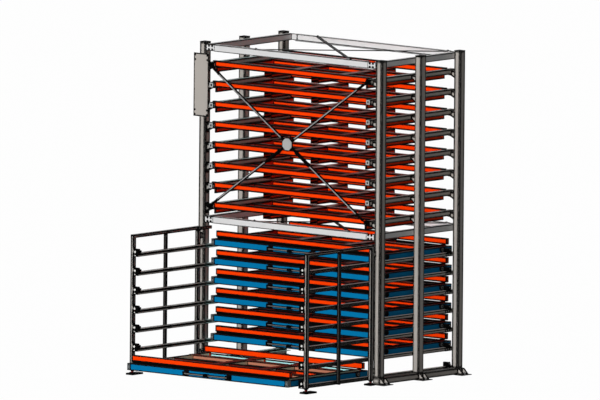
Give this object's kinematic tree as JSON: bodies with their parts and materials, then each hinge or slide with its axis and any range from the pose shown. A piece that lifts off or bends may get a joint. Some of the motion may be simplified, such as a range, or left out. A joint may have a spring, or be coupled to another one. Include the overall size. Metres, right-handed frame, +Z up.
{
  "type": "sheet cassette rack",
  "caption": "Tall steel sheet rack: fork-lift cassettes on side rails above, roll-out drawers carrying cassettes below, the lowest drawer pulled out between front ladder frames.",
  "frame": {"origin": "middle of the footprint at floor level, with the lowest drawer pulled out", "axes": "+X to the right along the front, +Y from the drawer side to the rear, +Z up"},
  "size_m": [3.76, 3.79, 4.76],
  "materials": {
    "post": "beige-grey paint",
    "rail_frame": "beige-grey paint",
    "floor_base": "beige-grey paint",
    "side_beam": "light grey paint",
    "ladder": "beige-grey paint",
    "cross_beam": "light grey paint",
    "brace": "bare steel",
    "panel": "beige-grey paint",
    "upper_cassette": "orange paint",
    "lower_cassette": "orange paint",
    "drawer": "blue paint",
    "wheel": "black wheel plastic"
  },
  "bodies": {
    "rack": {"brace_hub": "brace", "brace_rod_lower": "brace", "brace_rod_upper": "brace", "floor_base_left": "floor_base", "floor_base_right": "floor_base", "front_beam_middle": "cross_beam", "front_beam_top": "cross_beam", "ladder_left": "ladder", "ladder_right": "ladder", "panel_plate": "panel", "plan_brace_middle": "brace", "plan_brace_top": "brace", "post_front_left": "post", "post_front_right": "post", "post_rear_left": "post", "post_rear_right": "post", "rail_frame_left": "rail_frame", "rail_frame_right": "rail_frame", "rear_beam_middle": "cross_beam", "rear_beam_top": "cross_beam", "side_beam_middle_left": "side_beam", "side_beam_middle_right": "side_beam", "side_beam_top_left": "side_beam", "side_beam_top_right": "side_beam"},
    "upper_cassette_1": {"upper_cassette_1": "upper_cassette"},
    "upper_cassette_2": {"upper_cassette_2": "upper_cassette"},
    "upper_cassette_3": {"upper_cassette_3": "upper_cassette"},
    "upper_cassette_4": {"upper_cassette_4": "upper_cassette"},
    "upper_cassette_5": {"upper_cassette_5": "upper_cassette"},
    "upper_cassette_6": {"upper_cassette_6": "upper_cassette"},
    "upper_cassette_7": {"upper_cassette_7": "upper_cassette"},
    "upper_cassette_8": {"upper_cassette_8": "upper_cassette"},
    "drawer_1": {"drawer_1": "drawer", "lower_cassette_1": "lower_cassette"},
    "drawer_2": {"drawer_2": "drawer", "lower_cassette_2": "lower_cassette"},
    "drawer_3": {"drawer_3": "drawer", "lower_cassette_3": "lower_cassette"},
    "drawer_4": {"drawer_4": "drawer", "lower_cassette_4": "lower_cassette"},
    "drawer_5": {"drawer_5": "drawer", "lower_cassette_5": "lower_cassette"},
    "drawer_6": {"drawer_6": "drawer", "lower_cassette_6": "lower_cassette"},
    "drawer_7": {"drawer_7": "drawer", "lower_cassette_7": "lower_cassette"},
    "wheel_1_left": {"wheel_1_left": "wheel"},
    "wheel_1_right": {"wheel_1_right": "wheel"},
    "wheel_2_left": {"wheel_2_left": "wheel"},
    "wheel_2_right": {"wheel_2_right": "wheel"},
    "wheel_3_left": {"wheel_3_left": "wheel"},
    "wheel_3_right": {"wheel_3_right": "wheel"},
    "wheel_4_left": {"wheel_4_left": "wheel"},
    "wheel_4_right": {"wheel_4_right": "wheel"},
    "wheel_5_left": {"wheel_5_left": "wheel"},
    "wheel_5_right": {"wheel_5_right": "wheel"},
    "wheel_6_left": {"wheel_6_left": "wheel"},
    "wheel_6_right": {"wheel_6_right": "wheel"},
    "wheel_7_left": {"wheel_7_left": "wheel"},
    "wheel_7_right": {"wheel_7_right": "wheel"}
  },
  "joints": [
    {"name": "upper_cassette_1_slide", "type": "slide", "parent": "rack", "child": "upper_cassette_1", "axis": [0, 1, 0], "range_m": [0, 1.2]},
    {"name": "upper_cassette_2_slide", "type": "slide", "parent": "rack", "child": "upper_cassette_2", "axis": [0, 1, 0], "range_m": [0, 1.2]},
    {"name": "upper_cassette_3_slide", "type": "slide", "parent": "rack", "child": "upper_cassette_3", "axis": [0, 1, 0], "range_m": [0, 1.2]},
    {"name": "upper_cassette_4_slide", "type": "slide", "parent": "rack", "child": "upper_cassette_4", "axis": [0, 1, 0], "range_m": [0, 1.2]},
    {"name": "upper_cassette_5_slide", "type": "slide", "parent": "rack", "child": "upper_cassette_5", "axis": [0, 1, 0], "range_m": [0, 1.2]},
    {"name": "upper_cassette_6_slide", "type": "slide", "parent": "rack", "child": "upper_cassette_6", "axis": [0, 1, 0], "range_m": [0, 1.2]},
    {"name": "upper_cassette_7_slide", "type": "slide", "parent": "rack", "child": "upper_cassette_7", "axis": [0, 1, 0], "range_m": [0, 1.2]},
    {"name": "upper_cassette_8_slide", "type": "slide", "parent": "rack", "child": "upper_cassette_8", "axis": [0, 1, 0], "range_m": [0, 1.2]},
    {"name": "drawer_1_slide", "type": "slide", "parent": "rack", "child": "drawer_1", "axis": [0, -1, 0], "range_m": [-1.87, 0]},
    {"name": "drawer_2_slide", "type": "slide", "parent": "rack", "child": "drawer_2", "axis": [0, -1, 0], "range_m": [0, 1.87]},
    {"name": "drawer_3_slide", "type": "slide", "parent": "rack", "child": "drawer_3", "axis": [0, -1, 0], "range_m": [0, 1.87]},
    {"name": "drawer_4_slide", "type": "slide", "parent": "rack", "child": "drawer_4", "axis": [0, -1, 0], "range_m": [0, 1.87]},
    {"name": "drawer_5_slide", "type": "slide", "parent": "rack", "child": "drawer_5", "axis": [0, -1, 0], "range_m": [0, 1.87]},
    {"name": "drawer_6_slide", "type": "slide", "parent": "rack", "child": "drawer_6", "axis": [0, -1, 0], "range_m": [0, 1.87]},
    {"name": "drawer_7_slide", "type": "slide", "parent": "rack", "child": "drawer_7", "axis": [0, -1, 0], "range_m": [0, 1.87]},
    {"name": "wheel_1_left_turn", "type": "hinge", "parent": "drawer_1", "child": "wheel_1_left", "pos_m": [-1.553, -0.284, 0.1653], "axis": [1, 0, 0], "continuous": true},
    {"name": "wheel_1_right_turn", "type": "hinge", "parent": "drawer_1", "child": "wheel_1_right", "pos_m": [1.553, -0.284, 0.1653], "axis": [1, 0, 0], "continuous": true},
    {"name": "wheel_2_left_turn", "type": "hinge", "parent": "drawer_2", "child": "wheel_2_left", "pos_m": [-1.553, 1.586, 0.4438], "axis": [1, 0, 0], "continuous": true},
    {"name": "wheel_2_right_turn", "type": "hinge", "parent": "drawer_2", "child": "wheel_2_right", "pos_m": [1.553, 1.586, 0.4438], "axis": [1, 0, 0], "continuous": true},
    {"name": "wheel_3_left_turn", "type": "hinge", "parent": "drawer_3", "child": "wheel_3_left", "pos_m": [-1.553, 1.586, 0.7223], "axis": [1, 0, 0], "continuous": true},
    {"name": "wheel_3_right_turn", "type": "hinge", "parent": "drawer_3", "child": "wheel_3_right", "pos_m": [1.553, 1.586, 0.7223], "axis": [1, 0, 0], "continuous": true},
    {"name": "wheel_4_left_turn", "type": "hinge", "parent": "drawer_4", "child": "wheel_4_left", "pos_m": [-1.553, 1.586, 1.0008], "axis": [1, 0, 0], "continuous": true},
    {"name": "wheel_4_right_turn", "type": "hinge", "parent": "drawer_4", "child": "wheel_4_right", "pos_m": [1.553, 1.586, 1.0008], "axis": [1, 0, 0], "continuous": true},
    {"name": "wheel_5_left_turn", "type": "hinge", "parent": "drawer_5", "child": "wheel_5_left", "pos_m": [-1.553, 1.586, 1.2793], "axis": [1, 0, 0], "continuous": true},
    {"name": "wheel_5_right_turn", "type": "hinge", "parent": "drawer_5", "child": "wheel_5_right", "pos_m": [1.553, 1.586, 1.2793], "axis": [1, 0, 0], "continuous": true},
    {"name": "wheel_6_left_turn", "type": "hinge", "parent": "drawer_6", "child": "wheel_6_left", "pos_m": [-1.553, 1.586, 1.5578], "axis": [1, 0, 0], "continuous": true},
    {"name": "wheel_6_right_turn", "type": "hinge", "parent": "drawer_6", "child": "wheel_6_right", "pos_m": [1.553, 1.586, 1.5578], "axis": [1, 0, 0], "continuous": true},
    {"name": "wheel_7_left_turn", "type": "hinge", "parent": "drawer_7", "child": "wheel_7_left", "pos_m": [-1.553, 1.586, 1.8363], "axis": [1, 0, 0], "continuous": true},
    {"name": "wheel_7_right_turn", "type": "hinge", "parent": "drawer_7", "child": "wheel_7_right", "pos_m": [1.553, 1.586, 1.8363], "axis": [1, 0, 0], "continuous": true}
  ],
  "couplings": [
    {"joint": "wheel_1_left_turn", "follows": "drawer_1_slide", "rad_per_m": 23.256},
    {"joint": "wheel_1_right_turn", "follows": "drawer_1_slide", "rad_per_m": 23.256},
    {"joint": "wheel_2_left_turn", "follows": "drawer_2_slide", "rad_per_m": 23.256},
    {"joint": "wheel_2_right_turn", "follows": "drawer_2_slide", "rad_per_m": 23.256},
    {"joint": "wheel_3_left_turn", "follows": "drawer_3_slide", "rad_per_m": 23.256},
    {"joint": "wheel_3_right_turn", "follows": "drawer_3_slide", "rad_per_m": 23.256},
    {"joint": "wheel_4_left_turn", "follows": "drawer_4_slide", "rad_per_m": 23.256},
    {"joint": "wheel_4_right_turn", "follows": "drawer_4_slide", "rad_per_m": 23.256},
    {"joint": "wheel_5_left_turn", "follows": "drawer_5_slide", "rad_per_m": 23.256},
    {"joint": "wheel_5_right_turn", "follows": "drawer_5_slide", "rad_per_m": 23.256},
    {"joint": "wheel_6_left_turn", "follows": "drawer_6_slide", "rad_per_m": 23.256},
    {"joint": "wheel_6_right_turn", "follows": "drawer_6_slide", "rad_per_m": 23.256},
    {"joint": "wheel_7_left_turn", "follows": "drawer_7_slide", "rad_per_m": 23.256},
    {"joint": "wheel_7_right_turn", "follows": "drawer_7_slide", "rad_per_m": 23.256}
  ]
}
